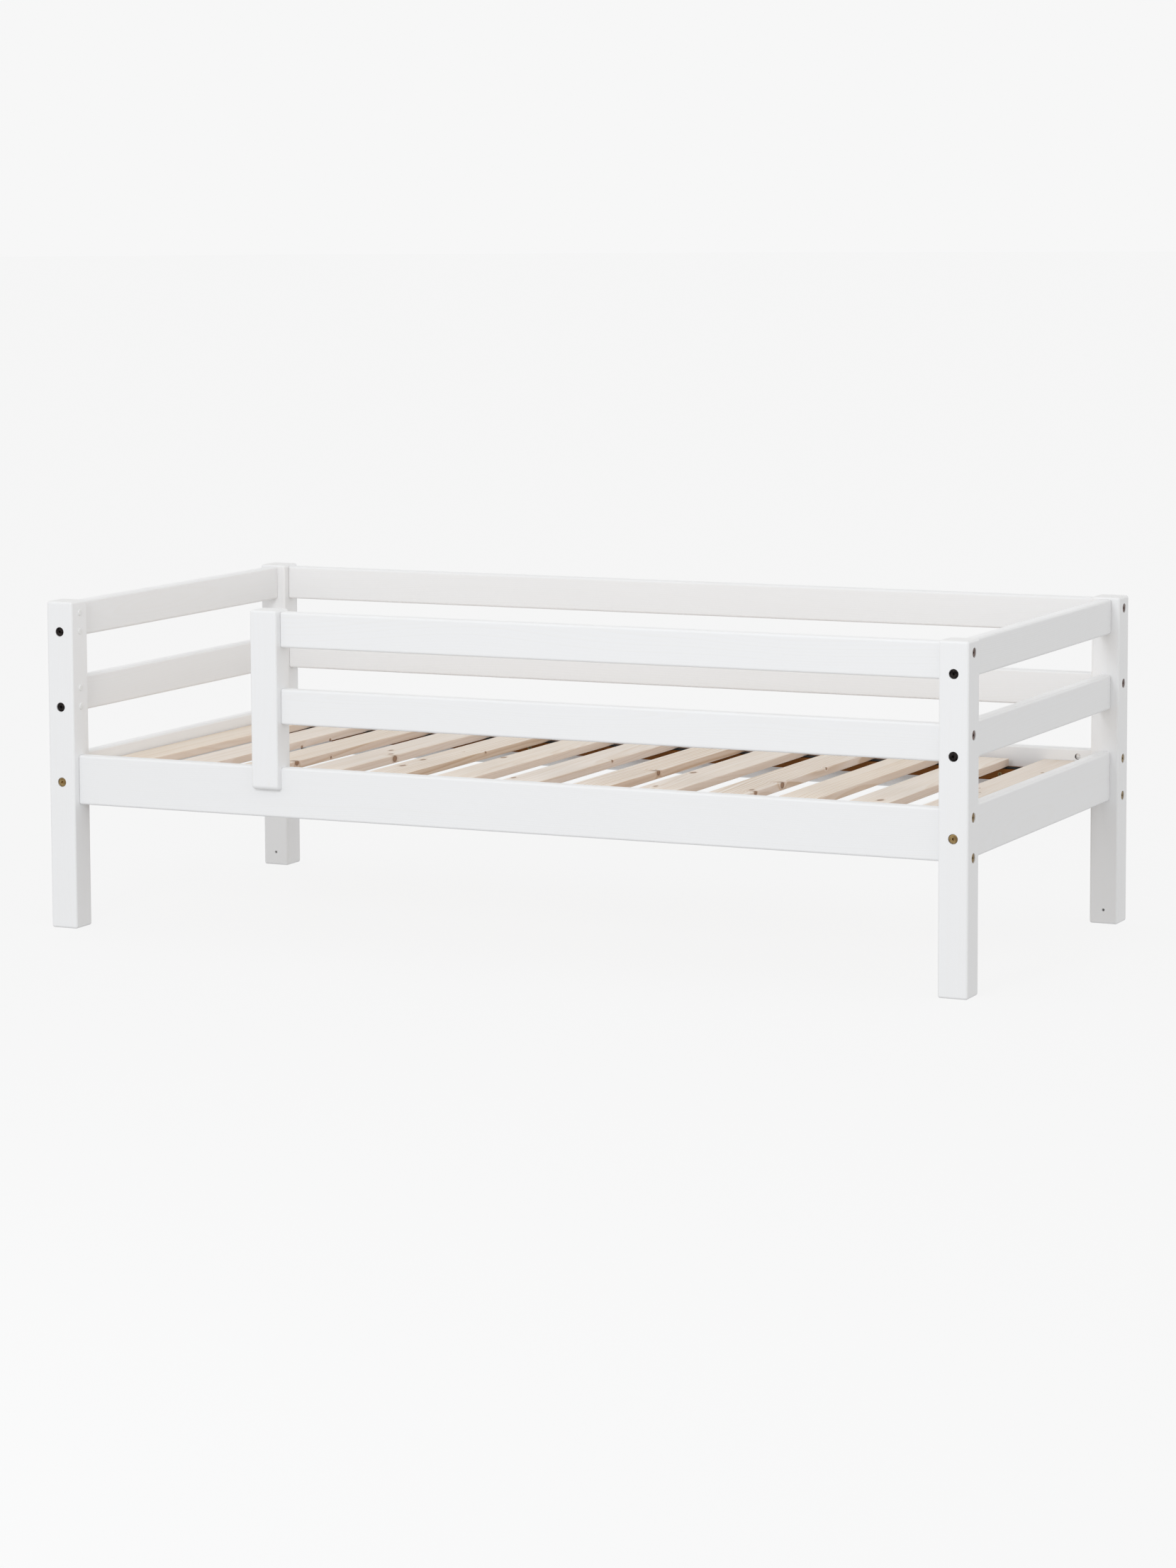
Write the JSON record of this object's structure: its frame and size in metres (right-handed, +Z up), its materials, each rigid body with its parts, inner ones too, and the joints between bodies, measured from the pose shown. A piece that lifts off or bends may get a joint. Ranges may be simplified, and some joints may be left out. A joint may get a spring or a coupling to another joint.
{
  "type": "toddler bed",
  "caption": "Low white-lacquered pine toddler bed with square posts, railed back and ends, a three-quarter front guard rail with an entry gap, and a lift-out slatted base of bare pine.",
  "frame": {"origin": "on the floor, under the middle of the bed", "axes": "+X towards the bed's right end as seen from the open front, +Y towards the railed back, +Z up"},
  "size_m": [1.67, 0.8, 0.564],
  "materials": {
    "white_lacquer": "white lacquer over planed pine, satin, faint grain showing through",
    "bare_pine": "bare planed pine with knots, matte",
    "cleat_pine": "bare pine, darker heartwood, matte",
    "beech": "bare beech dowel, matte",
    "bronzed_steel": "yellow-passivated zinc, dull, darker in the socket",
    "zinc_steel": "bright zinc plate",
    "yellow_zinc_screw": "yellow-passivated zinc",
    "white_plastic": "white moulded polyethylene",
    "black_webbing": "woven polypropylene webbing"
  },
  "bodies": {
    "frame": {"back_board_middle": "white_lacquer", "back_board_top": "white_lacquer", "cleat_screws": "yellow_zinc_screw", "counterbore_caps": "white_plastic", "end_rail_barrel_nuts": "zinc_steel", "end_rail_bolts": "bronzed_steel", "end_rail_dowels": "beech", "end_rail_left_bottom": "white_lacquer", "end_rail_left_middle": "white_lacquer", "end_rail_left_top": "white_lacquer", "end_rail_right_bottom": "white_lacquer", "end_rail_right_middle": "white_lacquer", "end_rail_right_top": "white_lacquer", "guard_barrel_nuts": "zinc_steel", "guard_board_lower": "white_lacquer", "guard_board_top": "white_lacquer", "guard_bolts": "bronzed_steel", "guard_dowels": "beech", "guard_stub_post": "white_lacquer", "guard_stub_screws": "yellow_zinc_screw", "post_back_left": "white_lacquer", "post_back_right": "white_lacquer", "post_front_left": "white_lacquer", "post_front_right": "white_lacquer", "post_hole_plugs": "white_plastic", "side_board_barrel_nuts": "zinc_steel", "side_board_bolts": "bronzed_steel", "side_board_dowels": "beech", "side_rail_back": "white_lacquer", "side_rail_front": "white_lacquer", "slat_cleat_back": "cleat_pine", "slat_cleat_front": "cleat_pine"},
    "slat_base": {"slat_01": "bare_pine", "slat_02": "bare_pine", "slat_03": "bare_pine", "slat_04": "bare_pine", "slat_05": "bare_pine", "slat_06": "bare_pine", "slat_07": "bare_pine", "slat_08": "bare_pine", "slat_09": "bare_pine", "slat_10": "bare_pine", "slat_11": "bare_pine", "slat_12": "bare_pine", "slat_end_board": "bare_pine", "webbing_front": "black_webbing", "webbing_back": "black_webbing", "webbing_staples": "zinc_steel"}
  },
  "joints": [
    {"name": "slat_base_lift", "type": "slide", "parent": "frame", "child": "slat_base", "axis": [0, 0, 1], "range_m": [0, 0.3]}
  ]
}
